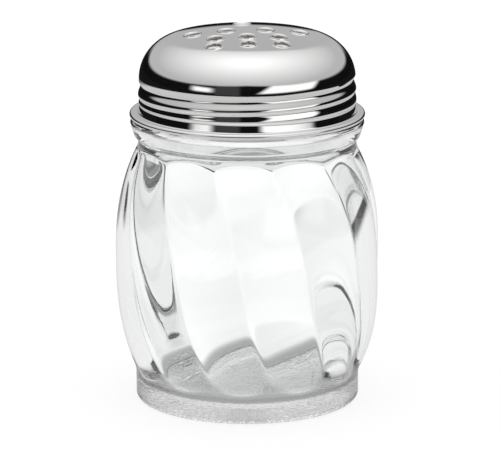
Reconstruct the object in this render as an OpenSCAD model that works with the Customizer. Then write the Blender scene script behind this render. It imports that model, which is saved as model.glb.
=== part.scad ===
// Table shaker for grated cheese: a glass jar with twelve swirled lobes, and a
// sheet-metal dome lid with holes, a rolled thread and a curled rim.
// The origin is the middle of the foot on the table, and +Z points up.
// The view of the holes' rows is from the front, which is the -Y side.

/* [Jar body] */
// Radius over the crests of the lobes at the belly
belly_r = 35; // [33.5:0.5:37]
// Height of the belly above the table
belly_z = 36; // [32:1:40]
// Radius of the plain foot
foot_r = 29.5; // [28.5:0.5:30.5]
// Height at which the crests of the lobes run out into the foot
lobe_foot_z = 7.5; // [6:0.5:9]
// Height at which the crests of the lobes run out into the waist
lobe_top_z = 68.2; // [66:0.2:72]
// Number of lobes round the jar
lobes = 12; // [8:1:16]
// Depth of the grooves between the lobes at the foot
groove_foot = 1.7; // [0.8:0.1:2]
// Depth of the grooves between the lobes at the waist
groove_top = 0.85; // [0.5:0.05:1.2]
// Turn of the lobes from the foot to the waist, in degrees
swirl = 30.5; // [0:0.5:60]
// Thickness of the glass at the crests of the lobes
crest_wall = 3.6; // [3.2:0.1:4]
// Thickness of the glass floor at the bearing ring
floor_t = 7; // [5:0.5:9]
// Height of the hollow under the floor
push_up = 1.2; // [0.5:0.1:2]

/* [Jar neck] */
// Radius of the glass neck that carries the thread
finish_r = 26.6; // [25.6:0.2:27.6]
// Thickness of the glass neck
neck_t = 2.7; // [2.2:0.1:3.2]
// Reach of the waist, between the lobes and the shoulder ring, past the neck
waist_reach = 2; // [1.6:0.1:2.4]
// Reach of the shoulder ring under the lid past the neck
ring_reach = 4.05; // [3.8:0.05:4.3]
// Height of the shoulder ring's top above the ends of the lobes
ring_rise = 7; // [6.4:0.1:8]

/* [Thread] */
// Rise of the thread in one turn
pitch = 3.6; // [3.4:0.1:4]
// Height of the glass ridge over the neck
ridge_h = 1.05; // [0.8:0.05:1.2]
// Gap between the neck and the lid's rolled groove
neck_gap = 0.55; // [0.4:0.05:0.7]
// Gap between the crest of the ridge and the lid's wall
crest_gap = 0.2; // [0.15:0.05:0.4]

/* [Lid] */
// Thickness of the lid's sheet
lid_t = 0.5; // [0.4:0.05:0.6]
// Height of the lid's wall from the shoulder ring to the dome
skirt_h = 10.6; // [10:0.2:11.6]
// Height of the rim above the shoulder ring
rim_gap = 0.4; // [0.3:0.05:0.6]
// Radius of the curled bead along the rim
curl_r = 1.1; // [1:0.05:1.2]
// Reach of the curled bead past the lid's wall
rim_reach = 2.5; // [2.4:0.1:3.2]
// Radius of the dome's shoulder
shoulder_r = 11.35; // [9:0.25:12]
// Radius of the dome's crown
crown_r = 100; // [70:5:200]
// Diameter of the holes in the crown
hole_d = 4; // [3:0.1:4.4]
// Height of the lips drawn up round the holes
lip_h = 0.5; // [0.3:0.05:0.7]

/* [Seal] */
// Thickness of the seal on the glass lip
seal_t = 0.9; // [0.6:0.1:1.2]
// Gap round the seal
seal_gap = 0.05; // [0.03:0.01:0.1]

/* [Hidden] */
$fn = 96;
over = 1;             // overrun of cuts
hole_facets = 32;     // facets round a hole

// Jar body
lobe_steps = 6;       // columns of points in one lobe
ring_steps = 26;      // rings of points up the lobes
curve_foot = 2.65;    // power of the curve from the belly to the foot
curve_top = 2.65;     // power of the curve from the belly to the waist
swirl_ease = 1.5;     // sway of the swirl about an even turn, in degrees
swirl_start = -77.3;  // bearing of the first groove at the foot, in degrees
lobe_sink = 1.5;      // run of the lobes inside the foot and the neck
foot_round = 1.4;     // edge radius under the foot
bearing_w = 7.5;      // width of the ring that the jar stands on
core_h = 12;          // height of the foot's cylinder inside the lobes
floor_round = 7;      // radius between the floor and the inner wall
wall_rings = 20;      // rings of points up the inner wall
round_steps = 8;      // steps of an edge radius

// Jar neck
waist_r = finish_r + waist_reach;
ring_r = finish_r + ring_reach;
ring_z = lobe_top_z + ring_rise;
mouth_r = finish_r - neck_t;
ring_round = 0.95;    // edge radius on top of the shoulder ring
ring_under = 1.7;     // radius under the shoulder ring
ring_under_end = 110; // bearing where that radius meets the ring's side
ring_taper = 1.05;    // draw-in of the ring's side towards the waist
ring_drop = 5.9;      // depth of the ring from its top to the waist's curve
ring_root = 0.5;      // radius where the neck stands on the ring
lip_round = 0.8;      // edge radii of the glass lip

// Thread: a ridge on the glass, which runs between the lid's rolled grooves
turn_step = 7.5;      // degrees between the rings of points along the ridge
thread_h = 5.2;       // height of the ridge over the ring at bearing 0
thread_z = ring_z + thread_h;
ridge_start = -15;    // bearings where the glass ridge starts and stops
ridge_stop = 390;
ridge_fade = 30;      // run-out of the ridge, in degrees
ridge_root = 0.3;     // depth to which the ridge is rooted in the neck
ridge_w = 1.05;       // half width of the ridge
ridge_sides = 6;      // facets across the ridge
fade_share = 0.12;    // share of the height left at the ridge's ends

// Lid
dome_r = finish_r + ridge_h + crest_gap + lid_t;
roll_depth = ridge_h + crest_gap - neck_gap;
roll_stop = 640;      // bearing where the rolled groove has run out
roll_out = 80;        // length of that run-out, in degrees
roll_low = 0.5;       // run-out of the groove over the rim
curl_c = [dome_r + rim_reach - curl_r, ring_z + rim_gap + curl_r];
curl_end = -190;      // bearing where the curl ends, inside the rim
curl_steps = 16;      // steps round the curl
bend_round = 0.5;     // radius between the wall and the rim
bend_z = curl_c[1] + curl_r + bend_round;
bend_steps = 4;
seam_run = 0.15;      // height of the seam of wall and rim over that radius
seam_low_z = bend_z + seam_run;
shoulder_z = ring_z + skirt_h;
shoulder_c = [dome_r - shoulder_r, shoulder_z];
crown_z = shoulder_z - sqrt(pow(crown_r - shoulder_r, 2) - pow(dome_r - shoulder_r, 2));
crown_angle = acos((dome_r - shoulder_r) / (crown_r - shoulder_r));
crown_steps = 10;     // rings of points on the crown and on the shoulder
shoulder_steps = 14;
tongue = 0.3;         // reach of the wall's ends into the sheet they join
tongue_turn = 3;      // the same at the dome, in degrees
tongue_in = 0.06;     // how much thinner a tongue is than its sheet, a side
seam_angle = 14;      // bearing of the seam between the wall and the dome
seam_steps = 3;       // rings of points under that seam
roll_high_angle = 6;  // bearing up to which the groove keeps its depth
seam_high_z = shoulder_z + shoulder_r * sin(seam_angle - tongue_turn / 2);
roll_high_z = shoulder_z + shoulder_r * sin(roll_high_angle);
wall_columns = 64;    // columns and rings of points in the wall
wall_steps = 13;

// Seal: its outer edge touches the inside of the lid's shoulder, and the glass
// lip stands under it
seal_edge = seal_t / 3;
seal_z = shoulder_z - seal_gap + seal_edge
    + sqrt(pow(shoulder_r - lid_t, 2) - pow(finish_r - shoulder_c[0], 2));
mouth_z = seal_z - seal_t - seal_gap;

// Holes
lip_w = 0.35;         // width of the lips drawn up round the holes
hole_turn = 5;        // turn of the pattern of holes, in degrees
field_share = 0.522;  // share of the dome's radius that the rows take up
hole_field = field_share * dome_r;
// Rows of holes, in shares of that field: the row's distance from the middle,
// and the places along it
row_shares = [
    [-1, [-0.669, -0.068, 0.514]],
    [-0.595, [-0.608, -0.054, 0.493]],
    [-0.122, [-0.973, -0.378, 0.311, 0.912]],
    [0.581, [-0.041]]
];

function arc(c, r, from, to, n) =
    [for (i = [0:n]) c + r * [cos(from + (to - from) * i / n), sin(from + (to - from) * i / n)]];

// Share of the way up the lobes at height z
function up_share(z) = (z - lobe_foot_z) / (lobe_top_z - lobe_foot_z);

// Radius over the crests of the lobes at height z
function crest(z) = z < belly_z
    ? belly_r - (belly_r - foot_r) * pow((belly_z - z) / (belly_z - lobe_foot_z), curve_foot)
    : belly_r - (belly_r - waist_r) * pow((z - belly_z) / (lobe_top_z - belly_z), curve_top);

// Depth of the grooves between the lobes at height z
function groove(z) = groove_foot + (groove_top - groove_foot) * up_share(z);

// Bearing of the first groove at height z
function groove_bearing(z) =
    swirl_start - swirl * up_share(z) - swirl_ease * sin(360 * up_share(z));

// Closed mesh through rings of points that all have the same count. The last
// ring is closed with a face, or where around is true joined to the first.
module skin(rings, around = false) {
    n = len(rings[0]);
    m = len(rings);
    last = around ? m - 1 : m - 2;
    polyhedron(
        points = [for (ring = rings) for (p = ring) p],
        faces = concat(
            [for (k = [0:last]) for (i = [0:n - 1])
                [k * n + i, (k + 1) % m * n + i, k * n + (i + 1) % n]],
            [for (k = [0:last]) for (i = [0:n - 1])
                [k * n + (i + 1) % n, (k + 1) % m * n + i, (k + 1) % m * n + (i + 1) % n]],
            around ? [] : [
                [for (i = [0:n - 1]) i],
                [for (i = [n - 1:-1:0]) (m - 1) * n + i]
            ]
        )
    );
}

// The swirled lobes, solid, with their ends buried in the foot and the neck
module lobed_body() {
    count = lobes * lobe_steps;
    low = lobe_foot_z - lobe_sink;
    high = lobe_top_z + lobe_sink;
    rings = [
        for (k = [0:ring_steps])
            let (z = low + (high - low) * k / ring_steps)
            [for (i = [0:count - 1])
                let (
                    across = 2 * (i % lobe_steps) / lobe_steps - 1,
                    a = groove_bearing(z) + 360 * i / count,
                    r = crest(z) - groove(z) * across * across
                )
                [r * cos(a), r * sin(a), z]]
    ];
    skin(rings);
}

// The helical ridge on the glass neck, with a round crest
module ridge() {
    turns = round((ridge_stop - ridge_start) / turn_step);
    rings = [
        for (k = [0:turns])
            let (
                a = ridge_start + (ridge_stop - ridge_start) * k / turns,
                run = min((a - ridge_start) / ridge_fade, (ridge_stop - a) / ridge_fade),
                grown = max(fade_share, min(1, run)),
                z = thread_z + pitch * a / 360
            )
            [for (i = [0:ridge_sides])
                let (
                    s = 2 * i / ridge_sides - 1,
                    r = finish_r - ridge_root + (ridge_h + ridge_root) * grown * cos(90 * s)
                )
                [r * cos(a), r * sin(a), z + ridge_w * s]]
    ];
    skin(rings);
}

// Outline of foot, core, waist, shoulder ring and threaded neck
module jar_outline() {
    stand_r = foot_r - foot_round - bearing_w;
    polygon(concat(
        [[0, push_up], [stand_r - bearing_w, push_up], [stand_r, 0]],
        arc([foot_r - foot_round, foot_round], foot_round, -90, 0, round_steps),
        [[foot_r, core_h], [waist_r, lobe_top_z - core_h]],
        arc([waist_r + ring_under, ring_z - ring_drop], ring_under, 180, ring_under_end, round_steps),
        [[ring_r - ring_taper, ring_z - ring_drop + ring_under * sin(ring_under_end)]],
        arc([ring_r - ring_round, ring_z - ring_round], ring_round, 0, 90, round_steps),
        arc([finish_r + ring_root, ring_z + ring_root], ring_root, -90, -180, round_steps / 2),
        arc([finish_r - lip_round, mouth_z - lip_round], lip_round, 0, 90, round_steps),
        [[0, mouth_z]]
    ));
}

// Outline of the inside: floor, barrel and mouth
module cavity_outline() {
    low = floor_t + floor_round;
    high = belly_z + (lobe_top_z - belly_z)
        * pow((belly_r - crest_wall - mouth_r) / (belly_r - waist_r), 1 / curve_top);
    polygon(concat(
        [[0, floor_t]],
        arc([crest(low) - crest_wall - floor_round, low], floor_round, -90, 0, round_steps),
        [for (i = [1:wall_rings])
            let (z = low + (high - low) * i / wall_rings)
            [crest(z) - crest_wall, z]],
        arc([mouth_r + lip_round, mouth_z - lip_round], lip_round, 180, 90, round_steps),
        [[mouth_r + lip_round, mouth_z + over], [0, mouth_z + over]]
    ));
}

module jar() {
    color("lightcyan", 0.5)
        difference() {
            union() {
                rotate_extrude()
                    jar_outline();
                lobed_body();
                ridge();
            }
            rotate_extrude()
                cavity_outline();
        }
}

// Thin ring that lies on the glass lip, inside the lid's shoulder
module lip_seal() {
    bore_r = mouth_r + lip_round / 2;
    color("whitesmoke")
        rotate_extrude()
            polygon([
                [bore_r, seal_z - seal_t],
                [finish_r - lip_round / 2, seal_z - seal_t],
                [finish_r, seal_z - seal_edge],
                [finish_r - seal_edge, seal_z],
                [bore_r, seal_z]
            ]);
}

// Depth of the lid's rolled groove at bearing a and height z. The glass ridge
// runs where turn is whole, and the groove between two of its turns.
function roll(a, z) =
    let (
        turn = (z - thread_z) / pitch - a / 360,
        along = a + 360 * (floor(turn) + 0.5),
        grown = max(0, min(1, (roll_stop - along) / roll_out)),
        low = max(0, min(1, (z - seam_low_z - tongue / 2) / roll_low)),
        high = max(0, min(1, (seam_high_z - z) / (seam_high_z - roll_high_z)))
    )
    roll_depth * grown * low * high * pow(sin(180 * turn), 2);

// Sheet of metal between a path and the same path drawn in by its thickness.
// Each entry of a path is a point of the outside and the normal there.
function offset_path(path, t) = [for (e = path) e[0] - t * e[1]];

function sheet(path) =
    concat(offset_path(path, 0), [for (i = [len(path) - 1:-1:0]) path[i][0] - lid_t * path[i][1]]);

function arc_path(c, r, from, to, n, side = 1) =
    [for (i = [0:n]) let (d = from + (to - from) * i / n, u = [cos(d), sin(d)]) [c + r * u, side * u]];

// Crown and shoulder, from the axis to the seam over the wall
crown_path = concat(
    arc_path([0, crown_z], crown_r, 90, crown_angle, crown_steps),
    arc_path(shoulder_c, shoulder_r, crown_angle, seam_angle, shoulder_steps)
);

// Wall from the seam over the rim up to the foot of the dome
wall_low_z = seam_low_z + tongue;
wall_path = concat(
    [for (i = [0:wall_steps - 1])
        [[dome_r, wall_low_z + (shoulder_z - wall_low_z) * i / wall_steps], [1, 0]]],
    arc_path(shoulder_c, shoulder_r, 0, seam_angle - seam_angle / seam_steps, seam_steps - 1)
);

// Rim: from the seam round the bend, outwards, and round the curl
rim_path = concat(
    [[[dome_r, seam_low_z], [1, 0]]],
    arc_path([dome_r + bend_round, bend_z], bend_round, 180, 270, bend_steps, -1),
    arc_path(curl_c, curl_r, 90, curl_end, curl_steps)
);

// The wall with its rolled groove. Its ends are tongues that are let into the
// sheet of the dome and of the rim, thinner than it by tongue_in a side.
module rolled_wall() {
    low_tongue = [for (d = [-tongue, tongue / 2]) [[dome_r, seam_low_z + d], [1, 0]]];
    high_tongue = arc_path(shoulder_c, shoulder_r, seam_angle - tongue_turn / 2, seam_angle + tongue_turn, 1);
    outside = concat(
        offset_path(low_tongue, tongue_in),
        offset_path(wall_path, 0),
        offset_path(high_tongue, tongue_in)
    );
    inside = concat(
        offset_path(low_tongue, lid_t - tongue_in),
        offset_path(wall_path, lid_t),
        offset_path(high_tongue, lid_t - tongue_in)
    );
    loop = concat(outside, [for (i = [len(inside) - 1:-1:0]) inside[i]]);
    skin([
        for (p = loop)
            [for (i = [0:wall_columns - 1])
                let (a = 360 * i / wall_columns, r = p[0] - roll(a, p[1]))
                [r * cos(a), r * sin(a), p[1]]]
    ], true);
}

// Place a child on the crown at x, y, square to the surface
module on_crown(x, y) {
    r = norm([x, y]);
    rotate(atan2(y, x))
        translate([0, 0, crown_z])
            rotate([0, asin(r / crown_r), 0])
                translate([0, 0, crown_r])
                    children();
}

module each_hole() {
    for (row = row_shares)
        for (x = row[1])
            rotate(hole_turn)
                on_crown(x * hole_field, row[0] * hole_field)
                    children();
}

module lid() {
    color("silver")
        difference() {
            union() {
                rotate_extrude()
                    polygon(sheet(crown_path));
                rotate_extrude()
                    polygon(sheet(rim_path));
                rolled_wall();
                each_hole()
                    translate([0, 0, -lid_t / 2])
                        cylinder(h = lid_t / 2 + lip_h, d = hole_d + 2 * lip_w, $fn = hole_facets);
            }
            each_hole()
                translate([0, 0, -lid_t - over])
                    cylinder(h = lid_t + lip_h + 2 * over, d = hole_d, $fn = hole_facets);
        }
}

jar();
lip_seal();
lid();
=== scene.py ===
# %% [markdown]
# # A glass shaker with a screw lid
#
# This lesson dresses a small table shaker: a pressed glass jar whose barrel has twelve
# swirled lobes, a bright sheet-metal lid with a perforated dome, and a thin seal between
# them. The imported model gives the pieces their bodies, joints and sizes. Here each piece
# gets its fine shape and its finish.

# %% Load the frame
import math
import bpy
import numpy as np
from mathutils import Matrix, Vector


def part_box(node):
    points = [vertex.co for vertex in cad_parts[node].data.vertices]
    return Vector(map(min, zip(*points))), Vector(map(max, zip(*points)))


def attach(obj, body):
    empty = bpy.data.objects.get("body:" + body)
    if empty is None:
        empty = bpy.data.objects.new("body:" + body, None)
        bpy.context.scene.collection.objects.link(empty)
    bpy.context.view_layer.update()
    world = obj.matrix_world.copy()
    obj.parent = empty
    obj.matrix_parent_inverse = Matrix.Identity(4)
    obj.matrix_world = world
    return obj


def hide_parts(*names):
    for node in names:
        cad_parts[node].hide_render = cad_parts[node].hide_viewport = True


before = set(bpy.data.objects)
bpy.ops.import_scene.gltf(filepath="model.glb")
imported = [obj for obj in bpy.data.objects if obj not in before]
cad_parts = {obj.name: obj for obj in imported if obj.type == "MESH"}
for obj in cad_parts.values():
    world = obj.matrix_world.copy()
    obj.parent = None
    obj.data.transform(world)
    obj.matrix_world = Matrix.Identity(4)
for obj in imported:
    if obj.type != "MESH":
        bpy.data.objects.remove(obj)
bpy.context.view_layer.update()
MM = 0.001

# %% [markdown]
# ## How a turned piece is made by hand
#
# Glass and spun metal are both bodies of revolution first. Each starts as a single point,
# which is extruded along the outline of half a section and then spun round the Z axis.
# A stack of cylinders would be quicker, but it gives no unbroken wall of one thickness, and
# clear glass shows every break. What isn't round, such as lobes and threads, is pressed
# into the spun surface afterwards, as a mould presses it into soft glass.

# %% Spin an outline round the axis
SAME_POINT, SEAM = 1e-7, 2e-6  # how close points lie, in metres, to be merged


def deselect():
    """Leave edit mode with nothing selected, so that the next operator acts alone."""
    if bpy.context.object and bpy.context.object.mode != "OBJECT":
        bpy.ops.object.mode_set(mode="OBJECT")
    bpy.ops.object.select_all(action="DESELECT")


def turned(name, outline, steps, closed=True):
    """Spin an outline of (radius, height) points, in millimetres, round Z.

    A closed outline ends where it began, and those two points are merged.
    """
    deselect()
    bpy.ops.mesh.primitive_plane_add(size=1, location=(0, 0, 0))
    piece = bpy.context.object
    piece.name = piece.data.name = name
    bpy.ops.object.mode_set(mode="EDIT")
    bpy.ops.mesh.select_all(action="SELECT")
    bpy.ops.mesh.merge(type="CENTER")
    here = Vector((outline[0][0] * MM, 0, outline[0][1] * MM))
    bpy.ops.transform.translate(value=here)
    for r, z in outline[1:]:
        there = Vector((r * MM, 0, z * MM))
        bpy.ops.mesh.extrude_region_move(TRANSFORM_OT_translate={"value": there - here})
        here = there
    bpy.ops.mesh.select_all(action="SELECT")
    if closed:
        bpy.ops.mesh.remove_doubles(threshold=SAME_POINT)
        bpy.ops.mesh.select_all(action="SELECT")
    bpy.ops.mesh.spin(steps=steps, angle=math.tau, center=(0, 0, 0), axis=(0, 0, 1))
    bpy.ops.mesh.select_all(action="SELECT")
    bpy.ops.mesh.remove_doubles(threshold=SEAM)
    bpy.ops.mesh.normals_make_consistent(inside=False)
    bpy.ops.object.mode_set(mode="OBJECT")
    print(name, "has", len(piece.data.vertices), "points and", len(piece.data.polygons), "faces")
    return piece


# %% Round and straight stretches of an outline


def arc(centre, radius, start, stop, steps):
    """Points along an arc, with its angles in degrees."""
    turn = np.radians(np.linspace(start, stop, steps + 1))
    return [(centre[0] + radius * math.cos(a), centre[1] + radius * math.sin(a)) for a in turn]


def line(a, b, steps):
    """Points from a to b, without a itself."""
    return [(a[0] + (b[0] - a[0]) * i / steps, a[1] + (b[1] - a[1]) * i / steps)
            for i in range(1, steps + 1)]


# %% [markdown]
# ## Sizes of the jar
#
# The frame's box fixes the whole: the jar stands on the table at zero, and its mouth is the
# top of the jar's node. The barrel's curve, its lobes, the shoulder ring and the thread are
# given here in millimetres, the same as in the solid. Only the floor inside is thinner, as
# the photograph shows it.

# %% Sizes of the jar
MOUTH_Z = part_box("jar")[1][2] / MM
BELLY_R, BELLY_Z = 35.0, 36.0  # the widest place of the barrel
FOOT_R, WAIST_R = 29.5, 28.6
LOBE_FOOT_Z, LOBE_TOP_Z = 7.5, 68.2
CURVE_FOOT, CURVE_TOP = 2.65, 2.65  # how late the barrel turns in below and above the belly
RING_R, RING_Z, RING_ROUND = 30.65, 75.2, 0.95
FINISH_R, MOUTH_R, MOUTH_ROUND = 26.6, 23.9, 0.8
NECK_ROUND = 0.5
WAIST_Z, WAIST_ROUND, WAIST_STOP = 69.4, 1.7, 112.0
WAIST_EDGE = (29.66, 70.98)  # where the rounding at the waist meets the ring's underside
WALL = 3.6
FLOOR_Z, FLOOR_ROUND = 4.4, 4.0
PUSH_UP, FOOT_ROUND, BEARING_W = 1.2, 1.4, 7.5  # the hollow under the foot, and what it stands on
print("mouth at", round(MOUTH_Z, 2), "mm, belly", 2 * BELLY_R, "mm across")

# %% The barrel's curve


def crest(z):
    """Radius over the crests of the lobes at height z."""
    z = np.asarray(z, float)
    low = np.clip((BELLY_Z - z) / (BELLY_Z - LOBE_FOOT_Z), 0, None)
    high = np.clip((z - BELLY_Z) / (LOBE_TOP_Z - BELLY_Z), 0, None)
    return BELLY_R - (BELLY_R - FOOT_R) * low ** CURVE_FOOT - (BELLY_R - WAIST_R) * high ** CURVE_TOP


def body_radius(z):
    """Radius of the plain foot and waist, which the lobes stand out from."""
    return np.where(np.asarray(z) < BELLY_Z, FOOT_R, WAIST_R)


print("the barrel is", round(2 * float(crest(LOBE_TOP_Z)), 1), "mm across at the lobes' top")

# %% [markdown]
# ## The glass jar
#
# A pressed jar is one solid of glass with an outer skin, which takes the mould's pattern,
# and an inner skin, which the plunger leaves smooth. Both are spun in one outline, so the
# wall is a real thickness and light bends twice in it. Rows lie closer together where the
# lobes begin and end, because the scalloped ends need them.

# %% Outline of the jar
BODY_Z, FINE_FOOT_Z, COARSE_Z, FINE_TOP_Z, BODY_STOP_Z = 2.2, 6.8, 13.0, 63.0, 69.2
FINE, COARSE = 0.25, 0.7
JOIN_FROM, JOIN_TO, JOIN_STEP = 75.0, 50.0, 0.05  # where the join inside is looked for
MOUTH_RUN, JOIN_DROP = 1.5, 0.4  # the inside's points stop this far above and below the join
COLUMNS = 288


def jar_outside():
    """Half a section from under the foot up the outside to the mouth's inner rounding."""
    stand = FOOT_R - FOOT_ROUND - BEARING_W
    hollow = (stand - BEARING_W, PUSH_UP)
    out = [(0.0, PUSH_UP)]
    out += line((0.0, PUSH_UP), hollow, 7)
    out += line(hollow, (stand, 0.0), 9)
    out += line((stand, 0.0), (FOOT_R - FOOT_ROUND, 0.0), 10)
    out += arc((FOOT_R - FOOT_ROUND, FOOT_ROUND), FOOT_ROUND, -90, 0, 8)[1:]
    heights = np.concatenate([
        np.arange(BODY_Z, FINE_FOOT_Z, COARSE), np.arange(FINE_FOOT_Z, COARSE_Z, FINE),
        np.arange(COARSE_Z, FINE_TOP_Z, COARSE), np.arange(FINE_TOP_Z, BODY_STOP_Z, FINE)])
    out += [(float(max(crest(z), body_radius(z))), float(z)) for z in heights]
    out += arc((WAIST_R + WAIST_ROUND, WAIST_Z), WAIST_ROUND, 180, WAIST_STOP, 8)
    out += line(WAIST_EDGE, (RING_R, RING_Z - RING_ROUND), 7)
    out += arc((RING_R - RING_ROUND, RING_Z - RING_ROUND), RING_ROUND, 0, 90, 8)[1:]
    out += line((RING_R - RING_ROUND, RING_Z), (FINISH_R + NECK_ROUND, RING_Z), 3)
    out += arc((FINISH_R + NECK_ROUND, RING_Z + NECK_ROUND), NECK_ROUND, 270, 180, 4)[1:]
    out += line((FINISH_R, RING_Z + NECK_ROUND), (FINISH_R, MOUTH_Z - MOUTH_ROUND), 52)
    out += arc((FINISH_R - MOUTH_ROUND, MOUTH_Z - MOUTH_ROUND), MOUTH_ROUND, 0, 90, 6)[1:]
    out += line((FINISH_R - MOUTH_ROUND, MOUTH_Z), (MOUTH_R + MOUTH_ROUND, MOUTH_Z), 2)
    return out + arc((MOUTH_R + MOUTH_ROUND, MOUTH_Z - MOUTH_ROUND), MOUTH_ROUND, 90, 180, 6)[1:]


def jar_inside():
    """The other half: from the mouth down the inside to the middle of the floor."""
    # The mouth runs down and joins the barrel where the two inner radii meet
    join_z = next(z for z in np.arange(JOIN_FROM, JOIN_TO, -JOIN_STEP) if crest(z) - WALL >= MOUTH_R)
    out = line((MOUTH_R, MOUTH_Z - MOUTH_ROUND), (MOUTH_R, join_z + MOUTH_RUN), 8)
    low = FLOOR_Z + FLOOR_ROUND
    out += [(float(crest(z)) - WALL, float(z)) for z in np.linspace(join_z - JOIN_DROP, low, 46)]
    r = float(crest(low)) - WALL
    out += arc((r - FLOOR_ROUND, low), FLOOR_ROUND, 0, -90, 14)[1:]
    return out + line((r - FLOOR_ROUND, FLOOR_Z), (0.0, FLOOR_Z), 12)


jar = turned("glass_jar", jar_outside() + jar_inside(), COLUMNS, closed=False)

# %% [markdown]
# ## Lobes and thread
#
# On the real jar the mould leaves twelve ribs that swirl round the barrel, with a narrow
# groove between each two, and a ridge on the neck that the lid screws over. They could be
# sculpted or displaced by a pattern. Here every point is moved by a formula: the columns of
# points are turned with the swirl first and crowd towards the grooves, so each groove runs
# along a column and stays sharp in the glass.

# %% Points of a piece as an array


def points_of(piece):
    """The piece's points as an array, in millimetres."""
    flat = np.empty(len(piece.data.vertices) * 3)
    piece.data.vertices.foreach_get("co", flat)
    return flat.reshape(-1, 3) / MM


def move_points(piece, points):
    """Put an array of points, in millimetres, back into the piece."""
    piece.data.vertices.foreach_set("co", (points * MM).ravel())
    piece.data.update()


# %% Columns turned with the swirl
LOBES, GROOVE_CROWD = 12, 0.6
SWIRL, SWIRL_START, SWIRL_EASE = 30.5, -77.3, 1.5  # bearings in degrees
SWIRL_PAST = 0.1  # the swirl goes on past a lobe's ends by this share of its height


def groove_bearing(z):
    """Bearing of the first groove at height z, in degrees."""
    t = (np.asarray(z, float) - LOBE_FOOT_Z) / (LOBE_TOP_Z - LOBE_FOOT_Z)
    t = np.clip(t, -SWIRL_PAST, 1 + SWIRL_PAST)
    return SWIRL_START - SWIRL * t + SWIRL_EASE * np.sin(math.tau * (t - 0.5))


def swirled(even, z):
    """Turn even bearings with the swirl. Also gives the place across a lobe, from -1 to 1."""
    step = 360 / LOBES
    lobe = np.floor(even / step)
    share = 2 * (even / step - lobe) - 1
    across = share + GROOVE_CROWD * np.sin(math.pi * share) / math.pi
    return (lobe + (across + 1) / 2) * step + groove_bearing(z), across


print("a groove turns by", round(float(groove_bearing(LOBE_TOP_Z) - groove_bearing(LOBE_FOOT_Z)), 1),
      "degrees on its way up")

# %% Lobes and grooves
GROOVE_FOOT, GROOVE_TOP = 1.7, 0.85  # how deep the grooves are below and above
GROOVE_SOFT = 0.06  # how round a groove's root is
BLEND = 0.3  # the rounding where a lobe runs into the foot or the waist
SLACK, NEAR = 0.1, 0.02  # how far a picked stretch stays off its ends and its surface


def with_lobes(r, z, across):
    """The radii with the lobes pressed into the outside of the barrel."""
    side = 1 - np.sqrt((1 - np.abs(across)) ** 2 + GROOVE_SOFT ** 2)
    depth = GROOVE_FOOT + (GROOVE_TOP - GROOVE_FOOT) * (z - LOBE_FOOT_Z) / (LOBE_TOP_Z - LOBE_FOOT_Z)
    lobed = crest(z) - depth * side ** 2
    body = body_radius(z)
    soft = BLEND * np.exp(-np.abs(lobed - body) / BLEND) / 2
    outside = (z > FOOT_ROUND + SLACK) & (z < WAIST_Z - SLACK) & (r > crest(z) - WALL / 2)
    return np.where(outside, np.maximum(lobed, body) + soft, r)


# %% The ridge of the thread, and the pressing
PITCH, THREAD_Z = 3.6, 80.4
RIDGE_H, RIDGE_W, RIDGE_POWER = 1.05, 1.0, 0.8
RIDGE_START, RIDGE_STOP, RIDGE_FADE = -15.0, 390.0, 30.0  # bearings along the thread


def with_ridge(r, z, bearing):
    """The radii with the ridge of the thread raised on the neck."""
    turn = (z - THREAD_Z) / PITCH - bearing / 360
    along = bearing + 360 * np.round(turn)
    grown = np.clip(np.minimum(along - RIDGE_START, RIDGE_STOP - along) / RIDGE_FADE, 0, 1)
    near = np.clip(np.abs(turn - np.round(turn)) * PITCH / RIDGE_W, 0, 1)
    ridge = RIDGE_H * grown * np.clip(np.cos(near * math.pi / 2), 0, 1) ** RIDGE_POWER
    neck = (z > RING_Z + NECK_ROUND + SLACK) & (z < MOUTH_Z - MOUTH_ROUND - SLACK)
    return np.where(neck & (np.abs(r - FINISH_R) < NEAR), r + ridge, r)


def press_mould(piece):
    """Turn the columns with the swirl, and press in the lobes and the thread's ridge."""
    p = points_of(piece)
    r, z = np.hypot(p[:, 0], p[:, 1]), p[:, 2]
    bearing, across = swirled(np.degrees(np.arctan2(p[:, 1], p[:, 0])), z)
    r = with_ridge(with_lobes(r, z, across), z, bearing)
    turned_by = np.radians(bearing)
    move_points(piece, np.column_stack([r * np.cos(turned_by), r * np.sin(turned_by), z]))


press_mould(jar)
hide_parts("jar")
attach(jar, "jar")
print("jar is", [round(float(x) / MM, 2) for x in jar.dimensions], "mm")

# %% [markdown]
# ## The metal lid
#
# The lid is stamped and rolled from one disc of thin bright sheet: a crown, a shoulder that
# runs down into a plain wall, a small bend outwards, and a flat rim curled into a bead. A
# spun surface with a Solidify modifier would do too, but the outline here runs down the
# outside and back up the inside, so the sheet has the same thickness at the tight bends.

# %% Sizes of the lid
SHEET, THREAD_GAP, RIM_GAP = 0.5, 0.2, 0.35
DOME_R = FINISH_R + RIDGE_H + THREAD_GAP + SHEET
SHOULDER_R, SHOULDER_Z, CROWN_R = 11.35, 85.8, 100.0
CROWN_Z = SHOULDER_Z - math.sqrt((CROWN_R - SHOULDER_R) ** 2 - (DOME_R - SHOULDER_R) ** 2)
CROWN_ANGLE = math.degrees(math.acos((DOME_R - SHOULDER_R) / (CROWN_R - SHOULDER_R)))
SWELL, SWELL_H = 0.25, 4.5  # the wall widens a little below the shoulder
RIM_REACH, RIM_DISH, BEND_R = 2.5, 0.2, 0.25
CURL_R, CURL_STOP = 0.85, -190.0  # the bead, and the angle that its edge is curled on to
CURL_C = (DOME_R + RIM_REACH - CURL_R, RING_Z + RIM_GAP + CURL_R)
RIM_Z = CURL_C[1] + CURL_R
BEND_Z = RIM_Z - RIM_DISH + BEND_R
LID_COLUMNS = 256
lid_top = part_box("lid")[1][2] / MM
print("crown tops out at", round(CROWN_Z + CROWN_R, 2), "mm; the frame says", round(lid_top, 2))

# %% Outline of the lid


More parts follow.
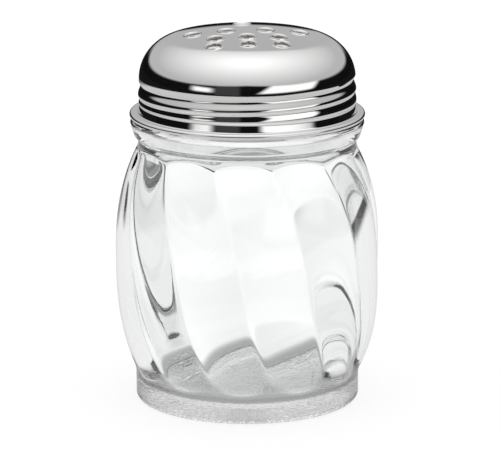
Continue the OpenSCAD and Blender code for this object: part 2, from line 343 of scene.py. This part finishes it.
def smooth(x):
    """An even ease from 0 to 1."""
    x = np.clip(x, 0, 1)
    return x * x * (3 - 2 * x)


def lid_path():
    """The outside of the sheet from the axis down to the rim, each point with its normal."""
    path = []

    def add_arc(c, radius, start, stop, steps, side=1, skip=0):
        """Add an arc. Side is -1 where the sheet's outside faces the arc's centre."""
        for a in np.radians(np.linspace(start, stop, steps + 1))[skip:]:
            u = (math.cos(a), math.sin(a))
            path.append((c[0] + radius * u[0], c[1] + radius * u[1], side * u[0], side * u[1]))

    add_arc((0, CROWN_Z), CROWN_R, 90, CROWN_ANGLE, 22)
    add_arc((DOME_R - SHOULDER_R, SHOULDER_Z), SHOULDER_R, CROWN_ANGLE, 0, 42, skip=1)
    for z in np.linspace(SHOULDER_Z, BEND_Z, 43)[1:]:
        path.append((DOME_R + SWELL * float(smooth((SHOULDER_Z - z) / SWELL_H)), z, 1, 0))
    add_arc((DOME_R + SWELL + BEND_R, BEND_Z), BEND_R, 180, 270, 6, side=-1, skip=1)
    path.append((CURL_C[0], RIM_Z, 0, 1))
    # The curl: on round the bead and back in towards the wall
    add_arc(CURL_C, CURL_R, 90, CURL_STOP, 30, skip=1)
    return path


def lid_outline():
    """The path of the outside, and the same path one sheet further in on the way back."""
    path = lid_path()
    outside = [(max(p[0], 0.0), p[1]) for p in path]
    inside = [(max(p[0] - SHEET * p[2], 0.0), p[1] - SHEET * p[3]) for p in reversed(path)]
    return outside + inside


lid = turned("dome_lid", lid_outline(), LID_COLUMNS, closed=False)

# %% [markdown]
# ## The lid's thread
#
# The thread of such a lid is a groove that a wheel rolls into the wall from outside. It
# shows as rounded rings that climb to the right, and inside it stands out as the ridge
# that runs under the glass thread. The groove starts at the bend and runs out in the
# shoulder after nearly two turns. It could be a swept helix joined to the wall, but rolling
# the wall's own points in keeps the sheet whole. The wheel leaves a long slope below the
# root and a short one above it, which is what draws the thin bright lines in the wall.

# %% The rolled groove
ROLL_START, ROLL_DEPTH, FIRST_AT = 0.38, 0.66, 90.0  # it deepens over one turn from FIRST_AT
ROLL_STOP, ROLL_OUT = 640.0, 80.0  # the bearing where it ends, and over how many degrees
ROOT_AT, ROLL_UP = 0.76, 0.25  # the root's place in a pitch, and how far all of it is raised
LEAN_START, LEAN = 1.7, 1.0  # how hollow the long slope is at first, and later
ROLL_LOW_Z, ROLL_LOW_FADE = 78.4, 1.0
ROLL_HIGH_Z, ROLL_HIGH_FADE = 88.4, 1.4


def rolled(z, bearing):
    """How deep the rolled groove is at a height and bearing."""
    # From one crest up to the next: a long slope in to the root, then a short one out
    turn = (z - THREAD_Z - ROLL_UP) / PITCH - bearing / 360 + ROOT_AT - 0.5
    share = turn - np.floor(turn)
    along = bearing + 360 * (np.floor(turn) + 0.5)
    first_turn = 1 - np.clip((along - FIRST_AT) / 360, 0, 1)
    slope_in = np.clip(share / ROOT_AT, 0, 1) ** (LEAN + (LEAN_START - LEAN) * first_turn)
    slope_out = np.clip((1 - share) / (1 - ROOT_AT), 0, 1)
    depth = np.sin(math.pi / 2 * np.minimum(slope_in, slope_out)) ** 2
    deep = ROLL_DEPTH + (ROLL_START - ROLL_DEPTH) * first_turn
    grown = smooth((ROLL_STOP - along) / ROLL_OUT)
    low = smooth((z - ROLL_LOW_Z) / ROLL_LOW_FADE)
    high = smooth((ROLL_HIGH_Z - z) / ROLL_HIGH_FADE)
    return deep * grown * low * high * depth


# %% Roll the thread into the wall
PINCH_DEPTH, PINCH_Z, PINCH_W = 0.32, 79.1, 0.5
SHOULDER_IN, WALL_OUT = 2.0, 0.05  # how far inside and outside the wall its points may lie
TINY = 1e-6


def pinched(z):
    """How far the wall is drawn in just above the rim, where the rolled thread starts."""
    above = np.exp(-((z - PINCH_Z) / PINCH_W) ** 2)
    below = np.clip((z - RIM_Z) / (PINCH_Z - RIM_Z), 0, 1)
    return PINCH_DEPTH * np.where(z > PINCH_Z, above, below)


def roll_thread(piece):
    """Press the groove of the thread into the wall, outside and inside alike."""
    p = points_of(piece)
    r, z = np.hypot(p[:, 0], p[:, 1]), p[:, 2]
    bearing = np.mod(np.degrees(np.arctan2(p[:, 1], p[:, 0])), 360)
    # The root of the sum of cubes follows the deeper of the two, with a soft change between
    groove = (rolled(z, bearing) ** 3 + pinched(z) ** 3) ** (1 / 3)
    wall = (r > DOME_R - SHOULDER_IN) & (z > RIM_Z + NEAR) & (r < DOME_R + SWELL + WALL_OUT)
    shrink = np.where(wall, (r - groove) / np.maximum(r, TINY), 1)
    move_points(piece, np.column_stack([p[:, 0] * shrink, p[:, 1] * shrink, z]))
    print("the groove is", round(float(groove[wall].max()), 2), "mm deep")


roll_thread(lid)

# %% [markdown]
# ## The holes in the crown
#
# The holes are punched from below, which draws a low lip up round each. They could be drawn
# as dark discs, but the light that falls through a real hole on its lip is what the eye
# reads. So the lips are small turned rings, set square to the crown, and the holes are cut
# through with a boolean, as a punch would do it.

# %% Places of the holes
HOLE_TURN = 5.0  # how far the pattern is turned on the jar, in degrees
# Each row's place from front to back, and the places of its holes from left to right
HOLE_ROWS = [
    (-14.8, (-9.9, -1.0, 7.6)), (-8.8, (-9.0, -0.8, 7.3)),
    (-1.8, (-14.4, -5.6, 4.6, 13.5)), (8.6, (-0.6,))]


def hole_places():
    """A matrix for each hole that sets a piece square on the crown, in metres."""
    for y, row in HOLE_ROWS:
        for x in row:
            r = math.hypot(x, y)
            tilt = math.asin(r / CROWN_R)
            yield (Matrix.Rotation(math.radians(HOLE_TURN) + math.atan2(y, x), 4, "Z")
                   @ Matrix.Translation((0, 0, CROWN_Z * MM))
                   @ Matrix.Rotation(tilt, 4, "Y")
                   @ Matrix.Translation((0, 0, CROWN_R * MM)))


print("holes in the crown:", len(list(hole_places())))

# %% Copies on the crown


def join(pieces, name):
    """Join pieces into the first one, and leave its object at the origin, unturned."""
    deselect()
    for piece in pieces:
        piece.select_set(True)
    bpy.context.view_layer.objects.active = pieces[0]
    bpy.ops.object.join()
    bpy.ops.object.transform_apply(location=True, rotation=True, scale=True)
    pieces[0].name = pieces[0].data.name = name
    return pieces[0]


def copies_on_crown(master, name):
    """One copy of the master at each hole, each with its own mesh, joined as one piece."""
    copies = []
    for place in hole_places():
        copy = master.copy()
        copy.data = master.data.copy()
        bpy.context.scene.collection.objects.link(copy)
        copy.matrix_world = place
        copies.append(copy)
    bpy.data.objects.remove(master)
    return join(copies, name)


# %% Punch the holes
HOLE_D, PUNCH_MORE, PUNCH_H, HOLE_STEPS = 3.9, 0.3, 2, 48
ring_r = HOLE_D / 2
cut_r = ring_r + PUNCH_MORE
punch_outline = [(0, -PUNCH_H), (cut_r, -PUNCH_H), (cut_r, PUNCH_H), (0, PUNCH_H)]
punch = turned("punch", punch_outline, HOLE_STEPS, closed=False)
punches = copies_on_crown(punch, "punches")

deselect()
bpy.context.view_layer.objects.active = lid
cut = lid.modifiers.new("holes", "BOOLEAN")
cut.operation, cut.object, cut.solver = "DIFFERENCE", punches, "EXACT"
bpy.ops.object.modifier_apply(modifier=cut.name)
bpy.data.objects.remove(punches)
print("the punched lid has", len(lid.data.polygons), "faces")

# %% Lips round the holes
LIP_H, LIP_W, LIP_SINK, LIP_LOW, LIP_LOW_W = 0.3, 0.37, 0.15, 0.75, 0.2
LIP_TOP = [(-0.04, -0.03), (0.0, 0.0), (0.07, -0.03), (0.11, -0.1)]  # steps from the highest point
LIP_SIDE = [(0.15, 0.04), (0.3, -0.05), (0.3, -SHEET)]  # steps out from it, at their own heights
top_r = ring_r + LIP_W
# A lip is a cut edge, a slope out to a narrow round top, and a steep outside
lip_outline = [(ring_r, -LIP_LOW), (ring_r, -LIP_SINK)]
lip_outline += [(top_r + out, LIP_H + rise) for out, rise in LIP_TOP]
lip_outline += [(top_r + out, height) for out, height in LIP_SIDE]
lip_outline += [(ring_r + LIP_LOW_W, -LIP_LOW), (ring_r, -LIP_LOW)]
lip = turned("lip", lip_outline, HOLE_STEPS)
lips = copies_on_crown(lip, "hole_lips")
lid = join([lid, lips], "dome_lid")
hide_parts("lid")
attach(lid, "lid")
print("lid has", len(lid.data.polygons), "faces")

# %% [markdown]
# ## The seal
#
# A thin white ring lies on the glass lip, inside the lid's shoulder. It shows only when
# the lid is off. A washer with square edges would look cut from sheet, so this one is spun
# from an outline with a round inner edge and bevelled outer edges.

# %% Seal
SEAL_IN, SEAL_BEVEL, SEAL_ROUND = 0.4, 0.3, 0.15
seal_low, seal_high = (np.array(c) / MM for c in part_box("lip_seal"))
seal_out, low_z, high_z = seal_high[0], seal_low[2], seal_high[2]
seal_in = MOUTH_R + SEAL_IN + SEAL_ROUND
seal_outline = [(seal_in, low_z)]
seal_outline += line(seal_outline[-1], (FINISH_R - SEAL_IN, low_z), 3)
seal_outline += line(seal_outline[-1], (seal_out, high_z - SEAL_BEVEL), 3)
seal_outline += line(seal_outline[-1], (seal_out - SEAL_BEVEL, high_z), 3)
seal_outline += line(seal_outline[-1], (seal_in, high_z), 3)
seal_outline += arc((seal_in, high_z - SEAL_ROUND), SEAL_ROUND, 90, 180, 4)[1:]
seal_outline += arc((seal_in, low_z + SEAL_ROUND), SEAL_ROUND, 180, 270, 4)
seal = turned("lip_ring", seal_outline, 144)
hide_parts("lip_seal")
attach(seal, "seal")

# %% [markdown]
# ## Shading
#
# Pressed glass and rolled sheet have no facets. The faces are shaded smooth, and an angle
# for each piece keeps its real edges sharp, such as those of the holes.

# %% Smooth shading that keeps the sharp edges
for piece, angle in ((jar, 50), (lid, 40), (seal, 35)):
    deselect()
    piece.select_set(True)
    bpy.context.view_layer.objects.active = piece
    bpy.ops.object.shade_smooth_by_angle(angle=math.radians(angle))
    print(piece.name, "is smooth below", angle, "degrees")

# %% [markdown]
# ## How the finishes are made
#
# Each finish is a small tree of nodes. They could be placed and linked one by one, as in the
# shader editor. The helpers below add nodes to the tree that is being built, so that a
# pattern can be written down like a sum. All patterns on the pieces read Object
# coordinates, so they stay on their piece when it moves.

# %% Node arithmetic


def math_node(kind, *inputs):
    """A math node in the tree that is being built. Each input is a number or a socket."""
    node = tree.nodes.new("ShaderNodeMath")
    node.operation = kind
    for i, given in enumerate(inputs):
        if isinstance(given, (int, float)):
            node.inputs[i].default_value = float(given)
        else:
            tree.links.new(given, node.inputs[i])
    return node.outputs[0]


def times(*inputs):
    """The product of two or more numbers or sockets."""
    product = inputs[0]
    for given in inputs[1:]:
        product = math_node("MULTIPLY", product, given)
    return product


def plus(*inputs):
    """The sum of two or more numbers or sockets."""
    total = inputs[0]
    for given in inputs[1:]:
        total = math_node("ADD", total, given)
    return total


def ramp(x, low, high, a=0.0, b=1.0, kind="SMOOTHSTEP"):
    """Ease from a to b as x goes from low to high."""
    node = tree.nodes.new("ShaderNodeMapRange")
    node.interpolation_type = kind
    for name, number in (("From Min", low), ("From Max", high), ("To Min", a), ("To Max", b)):
        node.inputs[name].default_value = number
    tree.links.new(x, node.inputs["Value"])
    return node.outputs["Result"]


def band(x, low, high, soft):
    """1 between low and high, with soft edges."""
    return times(ramp(x, low - soft, low + soft), ramp(x, high - soft, high + soft, 1.0, 0.0))


def mix(share, a, b):
    """a where share is 0, b where it is 1."""
    return plus(times(math_node("SUBTRACT", 1.0, share), a), times(share, b))


# %% Helpers for materials


def material(name):
    """A new node material, with its tree and its principled shader."""
    m = bpy.data.materials.new(name)
    m.use_nodes = True
    return m, m.node_tree, m.node_tree.nodes["Principled BSDF"]


def wear(piece, finish):
    """Give a piece its one material."""
    piece.data.materials.clear()
    piece.data.materials.append(finish)
    print(piece.name, "wears", finish.name, "of", len(finish.node_tree.nodes), "nodes")


def coordinates(kind):
    """A set of texture coordinates, as one vector."""
    return tree.nodes.new("ShaderNodeTexCoord").outputs[kind]


def split(vector):
    """The x, y and z of a vector."""
    node = tree.nodes.new("ShaderNodeSeparateXYZ")
    tree.links.new(vector, node.inputs[0])
    return list(node.outputs)


def vector_node(kind, socket, fixed=None):
    """A vector-math node of a socket and, where the sum needs one, a fixed vector."""
    node = tree.nodes.new("ShaderNodeVectorMath")
    node.operation = kind
    tree.links.new(socket, node.inputs[0])
    if fixed:
        node.inputs[1].default_value = fixed
    return node


def object_noise(scale, detail=2.0, stretch=(1, 1, 1)):
    """Noise on Object coordinates."""
    place = tree.nodes.new("ShaderNodeMapping")
    place.inputs["Scale"].default_value = stretch
    noise = tree.nodes.new("ShaderNodeTexNoise")
    noise.inputs["Scale"].default_value = scale
    noise.inputs["Detail"].default_value = detail
    tree.links.new(coordinates("Object"), place.inputs["Vector"])
    tree.links.new(place.outputs["Vector"], noise.inputs["Vector"])
    return noise.outputs["Fac"]


def add_bump(height, strength, distance):
    """Raise a pattern on the shader that is being built. The distance is in millimetres."""
    bump = tree.nodes.new("ShaderNodeBump")
    bump.inputs["Strength"].default_value = strength
    bump.inputs["Distance"].default_value = distance * MM
    tree.links.new(height, bump.inputs["Height"])
    tree.links.new(bump.outputs["Normal"], shader.inputs["Normal"])
    return bump


# %% [markdown]
# ## Clear glass
#
# The jar is clear soda glass. The principled shader needs only its index of refraction,
# a whisper of tint and the slight ripple that a mould leaves. A glass shader without the
# ripple would draw every lobe with the same clean line, and pressed glass never does.

# %% Glass
GLASS_TINT, GLASS_IOR = (0.985, 0.992, 0.99, 1), 1.5
RIPPLE_SCALE, RIPPLE_STRENGTH, RIPPLE_H = 90.0, 0.15, 0.2
glass, tree, shader = material("clear_glass")
shader.inputs["Base Color"].default_value = GLASS_TINT
shader.inputs["Transmission Weight"].default_value = 1.0
shader.inputs["Roughness"].default_value = 0.0
shader.inputs["IOR"].default_value = GLASS_IOR
ripple = add_bump(object_noise(RIPPLE_SCALE, 1.0), RIPPLE_STRENGTH, RIPPLE_H)
print("glass bends light by", GLASS_IOR)

# %% [markdown]
# ## Stippled foot
#
# Pressed jars are often stippled under the foot, so that only small tips of the hot glass
# touch the belt. It makes the foot sparkle grey. Thousands of modelled pits would cost too
# many faces, so a second, finer bump does it, and a ramp on the height keeps it to the
# underside.

# %% Stipple under the foot
STIPPLE_SCALE, STIPPLE_STRENGTH, STIPPLE_H = 1100.0, 1.0, 0.4
STIPPLE_Z, STIPPLE_END_Z = 1.3, 1.7  # it fades out between these heights
height = split(coordinates("Object"))[2]
under = ramp(height, STIPPLE_Z * MM, STIPPLE_END_Z * MM, 1.0, 0.0, kind="LINEAR")
pits = times(object_noise(STIPPLE_SCALE, 1.0), under)
stipple = add_bump(pits, STIPPLE_STRENGTH, STIPPLE_H)
tree.links.new(ripple.outputs["Normal"], stipple.inputs["Normal"])
wear(jar, glass)

# %% [markdown]
# ## Bright metal
#
# The lid is plated and polished. It needs something to reflect, which the studio gives, and
# a roughness that drifts a little along the wall, because a wheel polished it while it spun.
# One even roughness would look like a computer's chrome.

# %% Bright metal
METAL_COLOUR = (0.92, 0.92, 0.915, 1)
POLISH_SCALE, POLISH_DETAIL, POLISH_STRETCH = 60.0, 3.0, (1, 1, 6)
POLISH_LOW, POLISH_HIGH = 0.03, 0.055
metal, tree, shader = material("bright_metal")
shader.inputs["Base Color"].default_value = METAL_COLOUR
shader.inputs["Metallic"].default_value = 1.0
polish = object_noise(POLISH_SCALE, POLISH_DETAIL, POLISH_STRETCH)
spread = ramp(polish, 0.0, 1.0, POLISH_LOW, POLISH_HIGH, kind="LINEAR")
print("polish is", POLISH_LOW, "to", POLISH_HIGH)

# %% [markdown]
# ## Cut edges
#
# Where the punch broke through, the sheet is left rough and dull. The cut edges lie below
# the crown's surface and near the axis, so the distance from the crown's own centre and
# from the axis picks them out. A second material on chosen faces would do it too, but then
# the edge would end on a line of faces.

# %% Rough edges where the holes are cut
CUT_DEEP, CUT_SHALLOW = 0.14, 0.08  # how far below the crown the cut is all dull, and bright
HOLES_R = 19.9  # all holes lie within this radius
CUT_ROUGH, CUT_COLOUR = 0.5, (0.6, 0.56, 0.5, 1)
where = coordinates("Object")
from_centre = vector_node("DISTANCE", where, (0, 0, CROWN_Z * MM)).outputs["Value"]
flat = vector_node("MULTIPLY", where, (1, 1, 0)).outputs["Vector"]
from_axis = vector_node("LENGTH", flat).outputs["Value"]
deep_r, shallow_r = (CROWN_R - CUT_DEEP) * MM, (CROWN_R - CUT_SHALLOW) * MM
sunk = ramp(from_centre, deep_r, shallow_r, 1.0, 0.0, kind="LINEAR")
cut_edge = times(math_node("LESS_THAN", from_axis, HOLES_R * MM), sunk)
rough = math_node("MULTIPLY_ADD", cut_edge, CUT_ROUGH, spread)
tree.links.new(rough, shader.inputs["Roughness"])
print("cut edges are rougher by", CUT_ROUGH)

# %% The dull colour of the cut
SHARE, COLOUR_A, COLOUR_B, RESULT = 0, 6, 7, 2  # the Mix node's sockets for colours
colour = tree.nodes.new("ShaderNodeMix")
colour.data_type = "RGBA"
colour.inputs[COLOUR_A].default_value = METAL_COLOUR
colour.inputs[COLOUR_B].default_value = CUT_COLOUR
tree.links.new(cut_edge, colour.inputs[SHARE])
tree.links.new(colour.outputs[RESULT], shader.inputs["Base Color"])
wear(lid, metal)

# %% [markdown]
# ## Seal plastic
#
# The seal is soft white plastic with a fine dull grain. A flat white would do under the lid,
# but the ring is in plain view once the lid is off.

# %% Seal plastic
SEAL_COLOUR, SEAL_ROUGH = (0.86, 0.86, 0.84, 1), 0.45
GRAIN_SCALE, GRAIN_STRENGTH, GRAIN_H = 900.0, 0.1, 0.1
plastic, tree, shader = material("seal_plastic")
shader.inputs["Base Color"].default_value = SEAL_COLOUR
shader.inputs["Roughness"].default_value = SEAL_ROUGH
add_bump(object_noise(GRAIN_SCALE), GRAIN_STRENGTH, GRAIN_H)
wear(seal, plastic)

# %% [markdown]
# ## The studio
#
# Bright metal shows the room around it, and clear glass is drawn by the dark things that
# it bends into view. So the room is a world shader: a pale tent overhead, two soft boxes in
# front, dark walls at the sides and a lit backdrop. Lamps would give hard points of light
# in the dome, where the photograph has broad soft shapes. The camera itself sees plain
# white.

# %% Directions in the room
DEG = math.pi / 180
world = bpy.data.worlds.new("studio")
bpy.context.scene.world = world
world.use_nodes = True
tree = world.node_tree
tree.nodes.clear()
x, y, z = split(coordinates("Generated"))
up = math_node("ARCSINE", z)
bearing = math_node("ARCTAN2", x, times(y, -1.0))  # zero towards the camera
aside = math_node("ABSOLUTE", bearing)

# %% The tent overhead
TENT_EDGE, TENT_DROP, TENT_SOFT = 25 * DEG, 0.11, 2.5 * DEG  # its edge sinks towards the back
TENT_UP, TENT_LOW, TENT_HIGH = (22 * DEG, 80 * DEG), 0.62, 1.4
tent_edge = math_node("SUBTRACT", TENT_EDGE, times(aside, TENT_DROP))
tent = ramp(math_node("SUBTRACT", up, tent_edge), -TENT_SOFT, TENT_SOFT)
tent_level = ramp(up, *TENT_UP, TENT_LOW, TENT_HIGH, kind="LINEAR")
print("the tent begins", round(TENT_EDGE / DEG), "degrees up in front")

# %% What bright metal sees
BOX, DIM, DARK, BACKDROP = 1.35, 0.05, 0.006, 0.58  # how bright each is
# Each runs from one angle to another, and a third number is how soft its edges are
LEFT_BOX, LEFT_BOX_UP = (-60 * DEG, -38 * DEG, 6 * DEG), (4 * DEG, 14 * DEG, 3 * DEG)
RIGHT_BOX, RIGHT_BOX_UP, RIGHT_LEAN = (9 * DEG, 70 * DEG, 5 * DEG), (1 * DEG, 6 * DEG), 0.8
BETWEEN = (-34 * DEG, -8 * DEG, 3 * DEG)
BACK, BACK_TOP, BACK_FOOT = (156 * DEG, 170 * DEG), (36 * DEG, 46 * DEG), (1 * DEG, 5 * DEG)
left_box = times(band(bearing, *LEFT_BOX), band(up, *LEFT_BOX_UP))
lean = math_node("SUBTRACT", bearing, times(up, RIGHT_LEAN))
right_box = times(band(lean, *RIGHT_BOX), ramp(up, *RIGHT_BOX_UP))
between = times(band(bearing, *BETWEEN), DIM)
walls = plus(DARK, between, times(plus(left_box, right_box), BOX))
backdrop = times(ramp(aside, *BACK), ramp(up, *BACK_TOP, 1.0, 0.0))
backdrop_level = ramp(up, *BACK_FOOT, DARK, BACKDROP)
metal_room = mix(backdrop, mix(tent, walls, tent_level), backdrop_level)
print("for metal the boxes shine at", BOX, "between walls at", DARK)

# %% What is seen through the glass
LIT, UNLIT, LIT_PART = 1.05, 0.02, (45 * DEG, 75 * DEG)
off_behind = math_node("SUBTRACT", math.pi, aside)
lit_part = ramp(off_behind, *LIT_PART, 1.0, 0.0)
glass_room = mix(tent, mix(lit_part, UNLIT, LIT), LIT)
print("for glass the room is", LIT, "behind and overhead, and", UNLIT, "at the sides")

# %% The room's light
ROOM = 0.95
rays = tree.nodes.new("ShaderNodeLightPath")
level = mix(rays.outputs["Is Glossy Ray"], ROOM, metal_room)
level = mix(rays.outputs["Is Transmission Ray"], level, glass_room)
level = mix(rays.outputs["Is Camera Ray"], level, 1.0)
background = tree.nodes.new("ShaderNodeBackground")
output = tree.nodes.new("ShaderNodeOutputWorld")
tree.links.new(level, background.inputs["Strength"])
tree.links.new(background.outputs[0], output.inputs["Surface"])
print("the room has", len(tree.nodes), "nodes")

# %% [markdown]
# ## The table
#
# The table is a wide pale disc. The camera sees it as white with a faint shadow. Metal sees
# a light table that ends in the dark. Glass sees it brightest straight behind, grey close
# to the foot, where the jar's shadow is painted, and dark far out at the sides. Two painted
# dark patches further back are seen only through the glass and draw dark streaks in the
# side lobes. A plain white floor would leave the glass almost unseen: the dark places are
# what draws the lobes. Places on the table are in metres.

# %% The table's disc
TABLE_R, TABLE_DROP = 4.0, 0.00005
deselect()
bpy.ops.mesh.primitive_circle_add(
    vertices=96, radius=TABLE_R, fill_type="NGON", location=(0, 0, -TABLE_DROP))
floor = bpy.context.object
floor.name = "floor"
bpy.ops.object.transform_apply(location=True)
print("the table is", 2 * TABLE_R, "m across")

# %% Places on the table
FLOOR_COLOUR, FLOOR_ROUGH = (0.82, 0.82, 0.82, 1), 0.9
FORWARD = 0.5  # the point that from_front is measured from lies this far in front
floor_white, tree, shader = material("floor_white")
shader.inputs["Base Color"].default_value = FLOOR_COLOUR
shader.inputs["Roughness"].default_value = FLOOR_ROUGH
shader.inputs["Specular IOR Level"].default_value = 0.0
x, y, _ = split(coordinates("Object"))
far = math_node("SQRT", plus(times(x, x), times(y, y)))
off_behind = math_node("ARCTAN2", math_node("ABSOLUTE", x), y)
forward = plus(y, FORWARD)
from_front = math_node("SQRT", plus(times(x, x), times(forward, forward)))
print("the table is measured from the foot and from", FORWARD, "m in front of it")

# %% What metal sees of the table
TABLE, FAR_TABLE, TABLE_END = 0.6, 0.008, (0.85, 0.95)
metal_table = ramp(from_front, *TABLE_END, TABLE, FAR_TABLE)
print("for metal the table falls from", TABLE, "to", FAR_TABLE)

# %% What glass sees of the table
BEHIND, AT_SIDES, TURN_ASIDE = 1.08, 0.9, (0.0, 25 * DEG)
# Painted shadow: the glass sees the table darker under and round the foot
PAINTED_SHADOW_LEVEL, PAINTED_SHADOW_END = 0.4, (0.031, 0.042)
FAR_OUT, FAR_ASIDE = (0.4, 0.7), (50 * DEG, 80 * DEG)
# Places and darkness of two painted dark patches behind the jar, seen only through the glass
LEFT_X, LEFT_Y = (-0.135, -0.105), (0.19, 0.25)
RIGHT_X, RIGHT_Y, PAINTED_PATCH_LEVEL = (0.055, 0.085), (0.23, 0.36, 0.03), 0.06
glass_table = ramp(off_behind, *TURN_ASIDE, BEHIND, AT_SIDES)
# Close to the foot the glass sees a painted shadow of the jar on the table
glass_table = times(glass_table, ramp(far, *PAINTED_SHADOW_END, PAINTED_SHADOW_LEVEL, 1.0))
far_side = times(ramp(far, *FAR_OUT), ramp(off_behind, *FAR_ASIDE))
glass_table = times(glass_table, math_node("SUBTRACT", 1.0, far_side))
# Two painted dark patches draw dark streaks in the side lobes of the glass
left_painted_patch = times(ramp(x, *LEFT_X, 1.0, 0.0), ramp(y, *LEFT_Y))
right_painted_patch = times(ramp(x, *RIGHT_X), band(y, *RIGHT_Y))
glass_table = times(glass_table, mix(plus(left_painted_patch, right_painted_patch), 1.0, PAINTED_PATCH_LEVEL))
print("for glass the table is", BEHIND, "straight behind and", PAINTED_SHADOW_LEVEL, "of that under the foot")

# %% Shaders for the table


def glow(strength):
    """Plain emission of a strength that is a number or a socket."""
    node = tree.nodes.new("ShaderNodeEmission")
    if isinstance(strength, (int, float)):
        node.inputs["Strength"].default_value = strength
    else:
        tree.links.new(strength, node.inputs["Strength"])
    return node.outputs[0]


def blend(share, a, b):
    """A mix of two shaders."""
    node = tree.nodes.new("ShaderNodeMixShader")
    for i, socket in enumerate((share, a, b)):
        tree.links.new(socket, node.inputs[i])
    return node.outputs[0]


# %% The table's finish
SHADOW_SHARE, WHITE = 0.3, 1.09
rays = tree.nodes.new("ShaderNodeLightPath")
shadowed = tree.nodes.new("ShaderNodeBsdfDiffuse")
shadowed.inputs["Color"].default_value = (SHADOW_SHARE, SHADOW_SHARE, SHADOW_SHARE, 1)
# Where nothing shades it, the shadowed part and the glow add up to white
both = tree.nodes.new("ShaderNodeAddShader")
tree.links.new(shadowed.outputs[0], both.inputs[0])
tree.links.new(glow(WHITE - SHADOW_SHARE * ROOM), both.inputs[1])
finish = blend(rays.outputs["Is Glossy Ray"], shader.outputs[0], glow(metal_table))
finish = blend(rays.outputs["Is Transmission Ray"], finish, glow(glass_table))
finish = blend(rays.outputs["Is Camera Ray"], finish, both.outputs[0])
tree.links.new(finish, tree.nodes["Material Output"].inputs["Surface"])
wear(floor, floor_white)

# %% [markdown]
# ## The camera
#
# The photograph was taken from about a metre away with a long lens, a little from above.
# The camera's height, distance and pitch were fitted to the ellipses of the foot, the ring
# and the rim. Light passes many surfaces in a glass jar, so its paths may be long.

# %% Camera
CAMERA_BACK, CAMERA_UP, CAMERA_PITCH, CAMERA_YAW = 0.9485, 0.2805, 13.87, 0.0433
SENSOR_W, LENS = 36.0, 266.7
BOUNCES, GLOSSY_BOUNCES = 24, 8
camera_data = bpy.data.cameras.new("camera")
camera_data.sensor_width = SENSOR_W
camera_data.lens = LENS
camera = bpy.data.objects.new("camera", camera_data)
bpy.context.scene.collection.objects.link(camera)
camera.location = (0, -CAMERA_BACK, CAMERA_UP)
camera.rotation_euler = (math.radians(90 - CAMERA_PITCH), 0, math.radians(-CAMERA_YAW))
bpy.context.scene.camera = camera
bpy.context.scene.view_settings.view_transform = "Standard"
bpy.context.scene.cycles.max_bounces = BOUNCES
bpy.context.scene.cycles.transmission_bounces = BOUNCES
bpy.context.scene.cycles.glossy_bounces = GLOSSY_BOUNCES
print("the camera looks down by", CAMERA_PITCH, "degrees")
